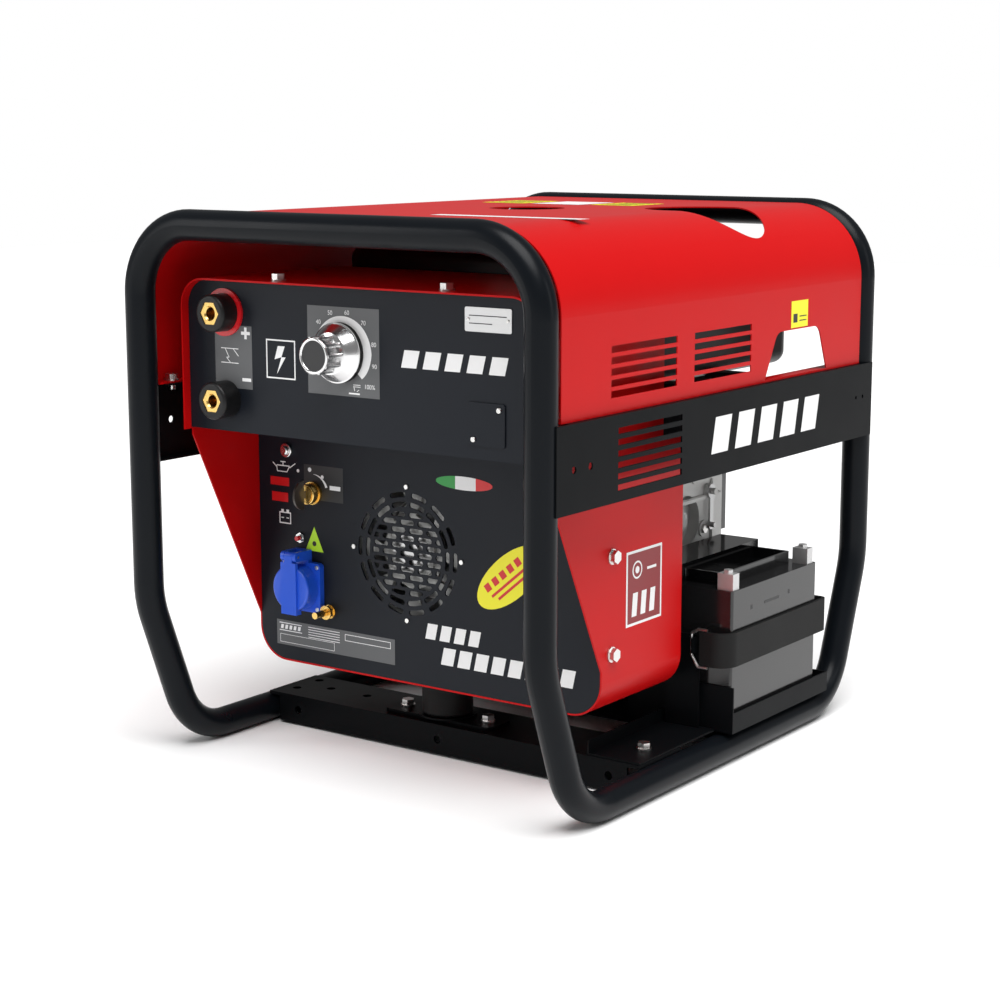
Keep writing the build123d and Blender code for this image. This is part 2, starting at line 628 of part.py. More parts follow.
def stator():
    """Laminated stator with coil heads inside its bore at both ends."""
    core = axial(STATOR_Y, ALT_R) - axial(STATOR_Y, 61.0)
    for n in range(4):
        angle = math.radians(45 + 90 * n)
        place = (SHAFT_X + ALT_R * math.cos(angle), STATOR_Y[0], SHAFT_Z + ALT_R * math.sin(angle))
        core -= rod(place, BACK, STATOR_Y[1] - STATOR_Y[0], 5.0)
    return core


def rotor():
    """Wound rotor pressed on the shaft, with its cooling fan disc."""
    core = axial((-142.0, -56.0), 60.0) + axial((-44.0, -38.0), 80.0)
    core += axial((-56.0, -44.0), 22.0)
    for n in range(16):
        angle = 22.5 * n
        blade = Pos(62, 0) * Rectangle(34.0, 2.5)
        blade = front_plane(-38.0) * (Pos(SHAFT_X, SHAFT_Z) * (Rot(0, 0, angle) * blade))
        core += extrude(blade, amount=-18)
    return core - axial((-160.0, 0.0), SHAFT_R)


def alternator_housing():
    """Cast adapter between the alternator and the engine, with air outlets and a foot."""
    housing = axial(HOUSING_Y, ALT_R) - axial((HOUSING_Y[0], HOUSING_Y[1] - 8), ALT_R - 7)
    for n in range(12):
        angle = math.radians(30 * n)
        place = (SHAFT_X, (HOUSING_Y[0] + HOUSING_Y[1]) / 2 - 6, SHAFT_Z)
        spoke = Plane(origin=place, x_dir=(0, 1, 0), z_dir=(math.cos(angle), 0, math.sin(angle)))
        housing -= spoke * extrude(SlotOverall(38.0, 18.0), amount=ALT_R + 10)
    foot = centred(45.0, (-22.0, 18.0), (BASE_TOP + 53, SHAFT_Z - ALT_R + 8), SHAFT_X)
    foot -= centred(33.0, (-24.0, 22.0), (BASE_TOP + 62, SHAFT_Z - ALT_R - 8), SHAFT_X)
    foot -= axial((-60.0, 30.0), ALT_R - 3)
    return housing + foot - axial((-60.0, 30.0), 40.0)


def crankshaft():
    """Crankshaft and alternator shaft as one bar, with two webs and a crank pin."""
    shaft = axial((-186.0, 108.0), SHAFT_R) + axial((152.0, 275.0), SHAFT_R)
    webs = axial((93.0, 108.0), 45.0) + axial((152.0, 167.0), 45.0)
    pin = rod((SHAFT_X, 108.0, SHAFT_Z - 30), BACK, 44.0, 14.0)
    return shaft + webs + pin


BEARING_PLACES = ((BELL_Y[0] - 4, BELL_Y[0] + 16), (24.0, 40.0), (222.0, 238.0))


def bearings():
    """Three ball bearings drawn as plain rings, running on the shaft."""
    rings = [axial(y, BEARING_R) - axial(y, SHAFT_R + RUNNING) for y in BEARING_PLACES]
    return group(*rings)


# ---- Engine ----
LEVER_PIVOT = (206.0, 278.0)
LEVER_PIN_R = 4.0
RECESS = (156.0, 246.0)


def crankcase():
    """Cast crankcase and sump with feet, a round side recess, a filter boss and an oil filler."""
    x = (SHAFT_X - 130, ENGINE_RIGHT_X)
    case = rounded(block(x, ENGINE_Y, CRANKCASE_Z), Axis.Y, 26.0)
    case += centred(112.0, (80.0, 230.0), (BASE_TOP + 53, CRANKCASE_Z[0] + 30), SHAFT_X)
    wall = 9.0
    hollow_z = (CRANKCASE_Z[0] + wall, CRANKCASE_Z[1] - wall)
    hollow = block((x[0] + wall, x[1] - 2 * wall), (44.0, 218.0), hollow_z)
    case -= rounded(hollow, Axis.Y, 18.0)
    case -= centred(103.0, (89.0, 218.0), (100.0, 140.0), SHAFT_X)
    case -= rod((ENGINE_RIGHT_X - 14, *RECESS), RIGHT, 20.0, 32.0)
    case += hexagon((ENGINE_RIGHT_X - 15, *RECESS), RIGHT, 10.0, 24.0)
    case += rod((ENGINE_RIGHT_X - 16, 222.0, 197.0), RIGHT, 29.0, 17.0)
    case += rod((ENGINE_RIGHT_X - 2, 92.0, 240.0), RIGHT, 20.0, 12.0)
    case += rod((ENGINE_RIGHT_X, *LEVER_PIVOT), RIGHT, 4.0, 9.0)
    case += rod((ENGINE_RIGHT_X, *LEVER_PIVOT), RIGHT, 13.0, LEVER_PIN_R)
    case -= axial((0.0, 46.0), BEARING_R) + axial((216.0, 260.0), BEARING_R)
    case += axial((ENGINE_Y[0], 24.0), 60.0) - axial((0.0, 30.0), SHAFT_R + 2)
    return case


LEVER_LENGTH = 42.0


def speed_lever():
    """Engine speed lever on the side of the crankcase, hanging from its pivot."""
    y, z = LEVER_PIVOT
    x = ENGINE_RIGHT_X + 4.4
    lever = rod((x, y, z), RIGHT, 3.0, 9.0) + rod((x, y, z - LEVER_LENGTH), RIGHT, 3.0, 6.0)
    lever += block((x, x + 3), (y - 4.0, y + 4.0), (z - LEVER_LENGTH, z))
    lever += rod((x + 3, y, z - LEVER_LENGTH), RIGHT, 5.0, 3.2)
    return lever - rod((x - 2, y, z), RIGHT, 8.0, LEVER_PIN_R + RUNNING)


CYLINDER_Y = 132.0
CYLINDER_Z = (CRANKCASE_Z[1], 378.0)
HEAD_H = 30.0


def cylinder():
    """Finned cylinder barrel."""
    barrel = rod((SHAFT_X, CYLINDER_Y, CYLINDER_Z[0]), UP, CYLINDER_Z[1] - CYLINDER_Z[0], 50.0)
    for n in range(6):
        low = CYLINDER_Z[0] + 4 + n * 9.6
        fin = centred(66.0, (CYLINDER_Y - 66, CYLINDER_Y + 66), (low, low + 3), SHAFT_X)
        barrel += rounded(fin, Axis.Z, 18.0)
    return barrel - rod((SHAFT_X, CYLINDER_Y, CYLINDER_Z[0]), UP, CYLINDER_Z[1] - CYLINDER_Z[0] - 4, 39.0)


PORTS_Y = (CYLINDER_Y - 30, CYLINDER_Y + 24)
PORT_Z = CYLINDER_Z[1] + 15
PORT_X = SHAFT_X - 80


def cylinder_head():
    """Finned head with inlet and exhaust ports."""
    low = CYLINDER_Z[1]
    y = (CYLINDER_Y - 70, CYLINDER_Y + 70)
    head = centred(58.0, (CYLINDER_Y - 58, CYLINDER_Y + 58), (low, low + HEAD_H), SHAFT_X)
    for n in range(3):
        head += rounded(centred(70.0, y, (low + 3 + n * 10, low + 6 + n * 10), SHAFT_X), Axis.Z, 14.0)
    for y_port in PORTS_Y:
        head += rod((SHAFT_X - 50, y_port, PORT_Z), LEFT, 30.0, 14.5)
    return head


def rocker_cover():
    low = CYLINDER_Z[1] + HEAD_H
    cover = centred(54.0, (CYLINDER_Y - 54, CYLINDER_Y + 54), (low, low + 22), SHAFT_X)
    cover = rounded(cover, Axis.Z, 18.0)
    return fillet(cover.faces().sort_by(Axis.Z)[-1].edges(), 8.0)


TANK_X = (-215.0, 215.0)
TANK_Y = (-60.0, 274.0)
TANK_Z = (436.0, 580.0)
TANK_LUGS_Y = (-30.0, 94.0)


def tank_block(inset, vertical, rim):
    """Rounded block of the tank's outline, drawn in by an inset."""
    body = rounded(block((TANK_X[0] + inset, TANK_X[1] - inset), (TANK_Y[0] + inset, TANK_Y[1] - inset),
                         (TANK_Z[0] + inset, TANK_Z[1] - inset)), Axis.Z, vertical)
    return fillet(body.faces().sort_by(Axis.Z)[-1].edges() + body.faces().sort_by(Axis.Z)[0].edges(), rim)


def fuel_tank():
    """Moulded tank across the machine over the engine, its filler neck under the hood opening."""
    neck = rod((*FUEL_CAP, TANK_Z[1] - 2), UP, 26.0, 22.0)
    well = rod((*FUEL_CAP, TANK_Z[1] - 8), UP, 40.0, 19.0)
    tank = tank_block(0.0, 24.0, 16.0) - tank_block(4.0, 20.0, 12.0) + neck - well
    for y in TANK_LUGS_Y:
        lug = block((206.0, 262.0), (y - 12, y + 12), (TANK_Z[0] - 2, TANK_Z[0] + 6))
        lug += block((206.0, 214.0), (y - 12, y + 12), (TANK_Z[0] - 2, TANK_Z[0] + 44))
        tank += lug + mirror(lug, Plane.YZ)
    return tank - tank_block(4.0, 20.0, 12.0)


def fuel_cap():
    """Quarter-turn cap with a ribbed skirt."""
    low = TANK_Z[1] + 14.0
    cap = rod((*FUEL_CAP, low), UP, 20.0, 33.0)
    cap = fillet(cap.edges().group_by(Axis.Z)[-1], 3.0)
    for n in range(24):
        angle = math.radians(15 * n)
        place = (FUEL_CAP[0] + 33.6 * math.cos(angle), FUEL_CAP[1] + 33.6 * math.sin(angle), low - 1)
        cap -= rod(place, UP, 17.0, 1.6)
    return cap - rod((*FUEL_CAP, low - 1), UP, 12.0, 22.5)


def air_cleaner():
    """Upright round air cleaner on the left of the engine, with its duct to the head."""
    x, y = -192.0, 30.0
    can = fillet(rod((x, y, 330.0), UP, 96.0, 40.0).edges(), 6.0)
    can += sleeve((x, y, 352.0), UP, 5.0, 43.0, 39.0)
    duct = FilletPolyline((x, y + 30, PORT_Z), (x, PORTS_Y[0], PORT_Z), (PORT_X, PORTS_Y[0], PORT_Z), radius=20)
    section = Plane(origin=duct @ 0, z_dir=duct % 0) * Circle(13.0)
    return can + sweep(section, path=duct)


def muffler():
    """Round-edged exhaust box on the left of the engine, with an inlet pipe and a tail pipe."""
    box = block((-232.0, -150.0), (176.0, 296.0), (340.0, 426.0))
    box = fillet(box.edges().filter_by(Axis.Y), 24.0)
    inlet = FilletPolyline((PORT_X, PORTS_Y[1], PORT_Z), (-185.0, PORTS_Y[1], PORT_Z), (-185.0, 190.0, PORT_Z),
                           radius=16)
    box += sweep(Plane(origin=inlet @ 0, z_dir=inlet % 0) * Circle(12.0), path=inlet)
    tail = rod((-191.0, 290.0, 372.0), BACK, 30.0, 13.0)
    return box + tail - rod((-191.0, 300.0, 372.0), BACK, 30.0, 11.0)


def fan_housing():
    """Round fan housing on the back of the engine, with a grille and a duct up to the cylinder."""
    wall = 2.5
    y = FAN_Y
    shell = axial(y, 122.0) - axial((y[0] + wall, y[1] - wall), 122.0 - wall)
    duct_x = (SHAFT_X - 92, ENGINE_RIGHT_X - 22)
    top = TANK_Z[0] - 6
    duct = block(duct_x, y, (SHAFT_Z - 30, top))
    hollow = block((duct_x[0] + wall, duct_x[1] - wall), (y[0] + wall, y[1] - wall),
                   (SHAFT_Z - 30 + wall, top - wall))
    housing = shell + (duct - axial(y, 121.0)) - hollow - axial((y[0] + wall, y[1] - wall), 122.0 - wall)
    housing -= axial((y[0] - 5, y[0] + 5), 60.0)
    housing -= centred(60.0, (y[0] - 5, y[0] + 5), (336.0, 412.0), SHAFT_X)
    slots = Sketch()
    for radius, count in ((84.0, 20), (66.0, 16), (48.0, 12), (30.0, 6)):
        pitch = 360 / count
        span = pitch - math.degrees(14.0 / radius)
        for n in range(count):
            slots += SlotArc(CenterArc((0, 0), radius, n * pitch, span), 9.0)
    grille = front_plane(y[1] + 5) * (Pos(SHAFT_X, SHAFT_Z) * slots)
    return housing - extrude(grille, amount=12)


def flywheel():
    """Flywheel with fan blades on its rear face, pressed on the end of the crankshaft."""
    wheel = axial((253.0, 264.0), 106.0) + axial((250.0, 278.0), 26.0)
    for n in range(20):
        outline = Rot(0, 0, 18 * n) * (Pos(82, 0) * Rectangle(40.0, 3.0))
        blade = front_plane(264.0) * (Pos(SHAFT_X, SHAFT_Z) * outline)
        wheel += extrude(blade, amount=-18)
    return wheel - axial((200.0, 290.0), SHAFT_R)


def starter_motor():
    """Electric starter along the left of the crankcase, with its solenoid on top."""
    x = SHAFT_X - 130 - 36
    motor = rod((x, 70.0, 190.0), BACK, 150.0, 34.0)
    motor = fillet(motor.edges(), 4.0)
    motor += rod((x, 110.0, 240.0), BACK, 80.0, 19.0)
    return motor + block((x - 10, x + 10), (120.0, 180.0), (215.0, 230.0))


def welding_inverter():
    """Power module in the control box: a finned heat sink with its circuit board."""
    sink = centred(110.0, (-240.0, -120.0), (397.0, 405.0), 20.0)
    for n in range(19):
        x = -85.0 + n * 11.5
        sink += block((x, x + 3), (-240.0, -120.0), (405.0, 440.0))
    board = centred(120.0, (-250.0, -110.0), (444.0, 446.0), 20.0)
    for x in (-40.0, 10.0, 60.0):
        board += rod((x, -150.0, 446.0), UP, 45.0, 18.0)
    board += block((-60.0, 90.0), (-235.0, -190.0), (446.0, 482.0))
    posts = [rod((x, y, 387.0), UP, 57.0, 4.0) for x in (-95.0, 135.0) for y in (-245.0, -115.0)]
    feet = [rod((x, y, 387.0), UP, 10.0, 6.0) for x in (-80.0, 120.0) for y in (-225.0, -200.0)]
    for foot, post in zip(feet, posts):
        sink += foot
        board += post
    return group(sink, board)


# ---- Battery ----
def battery_case():
    return rounded(block(BATTERY_X, BATTERY_Y, BATTERY_Z), Axis.Z, 3.0)


def battery_lid():
    """Two-level lid: a high block on the engine side and a low hand recess, clear of the terminals."""
    low = BATTERY_Z[1]
    x = (BATTERY_X[0] + 1, 261.0)
    lid = block((x[0], 210.0), (BATTERY_Y[0] + 12, BATTERY_Y[1] - 8), (low, low + 21))
    lid += block((210.0, x[1]), (38.0, 196.0), (low, low + 15))
    return rounded(lid, Axis.Z, 2.0) - block((213.0, x[1] - 3), (41.0, 193.0), (low + 2, low + 30))


def battery_terminals():
    """Two block terminals, each with a bolt from above."""
    blocks = []
    for y in (27.0, 207.0):
        post = block((263.0, 283.0), (y - 7, y + 7), (BATTERY_Z[1], BATTERY_Z[1] + 19))
        post -= block((262.0, 279.0), (y - 4.5, y + 4.5), (BATTERY_Z[1] + 5, BATTERY_Z[1] + 15))
        blocks.append(post + hexagon((273.0, y, BATTERY_Z[1] + 19), UP, 4.0, 10.0))
    return group(*blocks)


STRAP_START = (252.0, 2.0)
STRAP_REAR_Y = 243.0


def battery_strap():
    """Rubber strap round the free side of the battery, from the wire hook to the rear bracket."""
    x = BATTERY_X[1] + 0.5 + STRAP_T / 2
    path = FilletPolyline(STRAP_START, (x, STRAP_START[1]), (x, STRAP_REAR_Y), (214.0, STRAP_REAR_Y),
                          radius=[20.0, 8.0])
    outline = trace(path, line_width=STRAP_T)
    strap = Pos(0, 0, STRAP_Z[0]) * extrude(outline, amount=STRAP_Z[1] - STRAP_Z[0])
    strap -= block((190.0, 212.0), (230.0, 250.0), STRAP_Z)
    return strap - block((230.0, STRAP_START[0]), (-10.0, 10.0), STRAP_Z)


def strap_hook():
    """Bent wire hook from the strap's end to the lip of the tray bracket."""
    x, y = STRAP_START
    wire = FilletPolyline((x - 2, y, STRAP_Z[1] + 2), (x - 11, y, STRAP_Z[1] - 3), (x - 11, y, STRAP_Z[0] + 11),
                          (x - 2, y, STRAP_Z[0] - 2), radius=3.0)
    hook = sweep(Plane(origin=wire @ 0, z_dir=wire % 0) * Circle(1.8), path=wire)
    for z in (STRAP_Z[1] + 2, STRAP_Z[0] - 2):
        hook += rod((x - 2.5, y, z), RIGHT, 12.0, 1.8)
    return hook


PARTS = {
    "front_frame_tube": frame_tube(-1),
    "rear_frame_tube": frame_tube(1),
    "right_side_band": side_band(1),
    "left_side_band": side_band(-1),
    "front_base_channel": base_channel(-1),
    "rear_base_channel": base_channel(1),
    "rubber_mounts": rubber_mounts(),
    "mount_plates": mount_plates(),
    "engine_bed": engine_bed(),
    "battery_tray": battery_tray(),
    "hood": hood(),
    "flange_bolts": flange_bolts(),
    "upper_cover": upper_cover(),
    "upper_panel": upper_panel(),
    "lower_casing": lower_casing(),
    "lower_panel": lower_panel(),
    "blanking_plate": blanking_plate(),
    "rating_plate": rating_plate(),
    "panel_fasteners": panel_fasteners(),
    "socket_collars": socket_collars(),
    "socket_inserts": socket_inserts(),
    "positive_ring": positive_ring(),
    "current_knob": current_knob(),
    "knob_shaft": knob_shaft(),
    "potentiometer": potentiometer(),
    "key_switch": key_switch(),
    "key_plug": key_plug(),
    "ignition_key": ignition_key(),
    "oil_lamp": oil_lamp(),
    "breaker_body": breaker_body(),
    "breaker_button": breaker_button(),
    "outlet_base": outlet_base(),
    "outlet_hinge_pin": outlet_hinge_pin(),
    "outlet_lid": outlet_lid(),
    "earth_stud": earth_stud(),
    "earth_nuts": earth_nuts(),
    "end_bell": end_bell(),
    "stator": stator(),
    "rotor": rotor(),
    "alternator_housing": alternator_housing(),
    "crankshaft": crankshaft(),
    "bearings": bearings(),
    "crankcase": crankcase(),
    "speed_lever": speed_lever(),
    "cylinder": cylinder(),
    "cylinder_head": cylinder_head(),
    "rocker_cover": rocker_cover(),
    "fuel_tank": fuel_tank(),
    "fuel_cap": fuel_cap(),
    "air_cleaner": air_cleaner(),
    "muffler": muffler(),
    "fan_housing": fan_housing(),
    "flywheel": flywheel(),
    "starter_motor": starter_motor(),
    "welding_inverter": welding_inverter(),
    "battery_case": battery_case(),
    "battery_lid": battery_lid(),
    "battery_terminals": battery_terminals(),
    "battery_strap": battery_strap(),
    "strap_hook": strap_hook(),
}

os.makedirs("parts", exist_ok=True)
for name, shape in PARTS.items():
    export_step(shape, f"parts/{name}.step")
    print(name, len(shape.solids()), "solids", round(shape.volume / 1000, 1), "cm3")
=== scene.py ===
import json
import math

import bmesh
import bpy
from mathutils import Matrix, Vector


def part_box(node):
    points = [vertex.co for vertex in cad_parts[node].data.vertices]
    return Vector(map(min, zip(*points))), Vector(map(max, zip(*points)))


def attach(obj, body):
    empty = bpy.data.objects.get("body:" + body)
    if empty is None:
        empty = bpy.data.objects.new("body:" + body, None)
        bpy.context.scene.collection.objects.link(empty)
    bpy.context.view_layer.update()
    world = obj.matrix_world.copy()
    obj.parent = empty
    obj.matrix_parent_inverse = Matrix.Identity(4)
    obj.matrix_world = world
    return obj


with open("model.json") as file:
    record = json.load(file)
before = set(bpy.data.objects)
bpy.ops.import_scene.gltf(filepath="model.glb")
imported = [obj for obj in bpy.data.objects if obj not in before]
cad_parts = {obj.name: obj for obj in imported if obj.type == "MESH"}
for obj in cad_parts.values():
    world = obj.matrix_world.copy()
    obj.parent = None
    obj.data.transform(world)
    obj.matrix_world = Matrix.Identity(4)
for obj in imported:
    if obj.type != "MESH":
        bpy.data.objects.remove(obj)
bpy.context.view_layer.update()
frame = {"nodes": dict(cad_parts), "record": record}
ROOT = "frame_and_casing"
MM = 1000.0  # millimetres in a metre


# ---- Materials: Principled shaders with object-space noise for colour, roughness and fine bump ----
def material(name, colour, metallic=0.0, rough=0.5, spread=0.06, grain=0.0, grain_scale=900.0, coat=0.0,
             tint=0.06, specular=0.5):
    m = bpy.data.materials.new(name)
    m.use_nodes = True
    m.diffuse_color = (*colour, 1.0)
    nodes, links = m.node_tree.nodes, m.node_tree.links
    shader = nodes["Principled BSDF"]
    shader.inputs["Metallic"].default_value = metallic
    shader.inputs["Coat Weight"].default_value = coat
    shader.inputs["Coat Roughness"].default_value = 0.08
    shader.inputs["Specular IOR Level"].default_value = specular
    place = nodes.new("ShaderNodeTexCoord")
    cloud = nodes.new("ShaderNodeTexNoise")
    cloud.inputs["Scale"].default_value = 14.0
    cloud.inputs["Detail"].default_value = 5.0
    links.new(place.outputs["Object"], cloud.inputs["Vector"])
    spans = nodes.new("ShaderNodeMapRange")
    spans.inputs["To Min"].default_value = max(0.02, rough - spread)
    spans.inputs["To Max"].default_value = min(1.0, rough + spread)
    links.new(cloud.outputs["Fac"], spans.inputs["Value"])
    links.new(spans.outputs["Result"], shader.inputs["Roughness"])
    ramp = nodes.new("ShaderNodeMix")
    ramp.data_type = "RGBA"
    ramp.inputs["A"].default_value = (*[c * (1 - tint) for c in colour], 1.0)
    ramp.inputs["B"].default_value = (*[min(1.0, c * (1 + tint)) for c in colour], 1.0)
    links.new(cloud.outputs["Fac"], ramp.inputs["Factor"])
    links.new(ramp.outputs["Result"], shader.inputs["Base Color"])
    if grain:
        fine = nodes.new("ShaderNodeTexNoise")
        fine.inputs["Scale"].default_value = grain_scale
        fine.inputs["Detail"].default_value = 3.0
        bump = nodes.new("ShaderNodeBump")
        bump.inputs["Strength"].default_value = grain
        bump.inputs["Distance"].default_value = 0.0004
        links.new(place.outputs["Object"], fine.inputs["Vector"])
        links.new(fine.outputs["Fac"], bump.inputs["Height"])
        links.new(bump.outputs["Normal"], shader.inputs["Normal"])
    return m


M = {
    "black_frame": material("powder_black", (0.004, 0.0052, 0.007), rough=0.30, grain=0.12, grain_scale=1400,
                            specular=0.12),
    "black_sheet": material("sheet_black", (0.0055, 0.0075, 0.012), rough=0.45, grain=0.16, grain_scale=1500,
                            specular=0.2),
    "red_paint": material("red_paint", (0.50, 0.0032, 0.004), rough=0.34, spread=0.03, grain=0.05,
                          specular=0.12, tint=0.03),
    "zinc_steel": material("zinc_steel", (0.72, 0.71, 0.69), metallic=1.0, rough=0.28, grain=0.1),
    "mount_rubber": material("black_rubber", (0.006, 0.006, 0.006), rough=0.62, grain=0.3, specular=0.2),
    "plate_aluminium": material("plate_aluminium", (0.62, 0.62, 0.62), metallic=0.9, rough=0.38, grain=0.1),
    "black_plastic": material("black_plastic", (0.006, 0.006, 0.0065), rough=0.4, grain=0.2, specular=0.3),
    "brass": material("brass", (0.80, 0.53, 0.17), metallic=1.0, rough=0.24, grain=0.1),
    "red_plastic": material("red_plastic", (0.62, 0.01, 0.015), rough=0.26, coat=0.3),
    "knob_chrome": material("satin_chrome", (0.74, 0.74, 0.74), metallic=1.0, rough=0.2, grain=0.06),
    "blue_plastic": material("blue_plastic", (0.012, 0.085, 0.62), rough=0.32, grain=0.06, coat=0.2),
    "cast_aluminium": material("cast_aluminium", (0.52, 0.52, 0.51), metallic=0.35, rough=0.42, spread=0.1,
                               grain=0.7, grain_scale=420, tint=0.14),
    "machined_steel": material("machined_steel", (0.5, 0.5, 0.5), metallic=1.0, rough=0.3, grain=0.1),
    "cast_iron": material("cast_iron", (0.09, 0.085, 0.08), metallic=0.6, rough=0.6, grain=0.6,
                          grain_scale=420),
    "black_enamel": material("black_enamel", (0.012, 0.012, 0.013), rough=0.36, grain=0.1, coat=0.2),
    "heat_sink": material("heat_sink", (0.5, 0.5, 0.5), metallic=0.95, rough=0.36, grain=0.1),
    "battery_grey": material("battery_case", (0.010, 0.010, 0.0105), rough=0.16, spread=0.04, grain=0.04,
                             specular=0.6),
    "lead": material("terminal_lead", (0.62, 0.62, 0.62), metallic=0.9, rough=0.42, grain=0.3),
}
# Painted shade: a darker, duller copy of the sheet paint for the side bands, base channels and lower parts
SHADED_SHEET = material("sheet_black_painted_shade", (0.003, 0.0035, 0.0042), rough=0.42, grain=0.16, grain_scale=1500,
                 specular=0.06)
BY_NODE = {
    "right_side_band": SHADED_SHEET, "left_side_band": SHADED_SHEET, "front_base_channel": SHADED_SHEET,
    "rear_base_channel": SHADED_SHEET, "engine_bed": SHADED_SHEET, "mount_plates": SHADED_SHEET, "battery_tray": SHADED_SHEET,
    "breaker_body": M["knob_chrome"],
    "battery_lid": material("battery_lid", (0.004, 0.004, 0.0045), rough=0.10, spread=0.03, specular=0.5),
    "ignition_key": material("key_plastic", (0.045, 0.036, 0.03), rough=0.3, coat=0.3),
}
WHITE = material("white_print", (0.80, 0.80, 0.80), rough=0.42, tint=0.02)
GREY = material("grey_print", (0.095, 0.098, 0.102), rough=0.5, tint=0.03)
DARK = material("dark_print", (0.012, 0.012, 0.013), rough=0.45)
RED = material("red_print", (0.62, 0.008, 0.01), rough=0.35)
DARK_RED = material("dark_red_print", (0.22, 0.008, 0.012), rough=0.4)
YELLOW = material("yellow_print", (0.86, 0.80, 0.01), rough=0.4, tint=0.02)
LIME = material("lime_print", (0.48, 0.80, 0.02), rough=0.4, tint=0.02)
GREEN = material("green_print", (0.02, 0.30, 0.05), rough=0.4)

for entry in frame["record"]["subparts"]:
    node = frame["nodes"][entry["node"]]
    chosen = BY_NODE.get(entry["node"], M[entry["material_slot"]])
    for place in node.material_slots:
        place.material = chosen


# ---- Building new pieces ----
def add(name, verts, faces, m, body=ROOT, smooth=False):
    mesh = bpy.data.meshes.new(name)
    mesh.from_pydata(verts, [], faces)
    mesh.materials.append(m)
    if smooth:
        for face in mesh.polygons:
            face.use_smooth = True
    mesh.update()
    piece = bpy.data.objects.new(name, mesh)
    bpy.context.scene.collection.objects.link(piece)
    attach(piece, body)
    return piece


def front(u, v, off):
    """A point in metres from (across, up, depth) in millimetres, on a face that looks along -Y."""
    return (u / MM, off / MM, v / MM)


def side(u, v, off):
    """The same on a face that looks along +X."""
    return (off / MM, u / MM, v / MM)


def top(u, v, off):
    """The same on a face that looks up."""
    return (u / MM, v / MM, off / MM)


def decal(name, shapes, plane, off, m):
    """Flat printed shapes, each a list of (u, v) points in millimetres, on one plane at one depth."""
    verts, faces = [], []
    for points in shapes:
        area = sum(a[0] * b[1] - b[0] * a[1] for a, b in zip(points, points[1:] + points[:1]))
        ordered = points if area > 0 else points[::-1]
        faces.append(list(range(len(verts), len(verts) + len(ordered))))
        verts += [plane(u, v, off) for u, v in ordered]
    return add(name, verts, faces, m)


def rect(u0, u1, v0, v1, slant=0.0):
    rise = (v1 - v0) * slant
    return [(u0, v0), (u1, v0), (u1 + rise, v1), (u0 + rise, v1)]


def frame_of(u0, u1, v0, v1, w):
    return [rect(u0, u1, v0, v0 + w), rect(u0, u1, v1 - w, v1), rect(u0, u0 + w, v0 + w, v1 - w),
            rect(u1 - w, u1, v0 + w, v1 - w)]


def arc(cu, cv, r0, r1, a0, a1, n=24):
    """Quads along an arc; each radius is a number or a (start, end) pair, the angle in degrees from +u."""
    def between(pair, share):
        start, end = pair if isinstance(pair, tuple) else (pair, pair)
        return start + (end - start) * share

    def edge(share):
        """The inner and the outer point at a share of the way along."""
        t = math.radians(a0 + (a1 - a0) * share)
        reaches = (between(r0, share), between(r1, share))
        return [(cu + r * math.cos(t), cv + r * math.sin(t)) for r in reaches]

    shapes = []
    for k in range(n):
        (inner_a, outer_a), (inner_b, outer_b) = edge(k / n), edge((k + 1) / n)
        shapes.append([inner_a, outer_a, outer_b, inner_b])
    return shapes


def disc(cu, cv, ru, rv=None, n=40, turn=0.0):
    rv = rv or ru
    c, s = math.cos(math.radians(turn)), math.sin(math.radians(turn))
    points = [(ru * math.cos(k * math.tau / n), rv * math.sin(k * math.tau / n)) for k in range(n)]
    return [(cu + a * c - b * s, cv + a * s + b * c) for a, b in points]


def line(points, w):
    """Thin strokes joining a list of points."""
    shapes = []
    for (u0, v0), (u1, v1) in zip(points, points[1:]):
        length = math.hypot(u1 - u0, v1 - v0)
        du, dv = (v0 - v1) / length * w / 2, (u1 - u0) / length * w / 2
        shapes.append([(u0 - du, v0 - dv), (u1 - du, v1 - dv), (u1 + du, v1 + dv), (u0 + du, v0 + dv)])
    return shapes


def digits(name, text, u, v, height, plane, off, m):
    """Numbers as flat mesh shapes centred on a point."""
    curve = bpy.data.curves.new(name, "FONT")
    curve.body = text
    curve.size = height * 1.42
    curve.align_x = "CENTER"
    curve.align_y = "CENTER"
    holder = bpy.data.objects.new(name + "_curve", curve)
    bpy.context.scene.collection.objects.link(holder)
    mesh = holder.to_mesh()
    verts = [plane(u + p.co.x, v + p.co.y, off) for p in mesh.vertices]
    faces = [list(f.vertices) for f in mesh.polygons]
    bpy.data.objects.remove(holder)
    return add(name, verts, faces, m)


def turned(name, profile, centre, m, body=ROOT, n=48):
    """Solid of revolution about an axis along Y; the profile is (radius, y) in millimetres."""
    verts, faces = [], []
    for radius, y in profile:
        for k in range(n):
            t = math.tau * k / n
            across, up = centre[0] + radius * math.cos(t), centre[1] + radius * math.sin(t)
            verts.append(front(across, up, y))
    for ring in range(len(profile) - 1):
        for k in range(n):
            a, b = ring * n + k, ring * n + (k + 1) % n
            faces.append([a, b, b + n, a + n])
    return add(name, verts, faces, m, body, smooth=True)


def slanted(points, cu=123, cv=236, turn=40):
    """Points given in the oval label's own axes, turned with it."""
    c, s = math.cos(math.radians(turn)), math.sin(math.radians(turn))
    return [(cu + a * c - b * s, cv + a * s + b * c) for a, b in points]


def lens(u0, u1, cu=61, cv=334, ru=39, rv=7.6, n=12):
    """The part of an ellipse between two u values."""
    us = [u0 + (u1 - u0) * k / n for k in range(n + 1)]
    half = lambda u: rv * math.sqrt(max(0.0, 1 - ((u - cu) / ru) ** 2))
    return [(u, cv - half(u)) for u in us] + [(u, cv + half(u)) for u in reversed(us)]


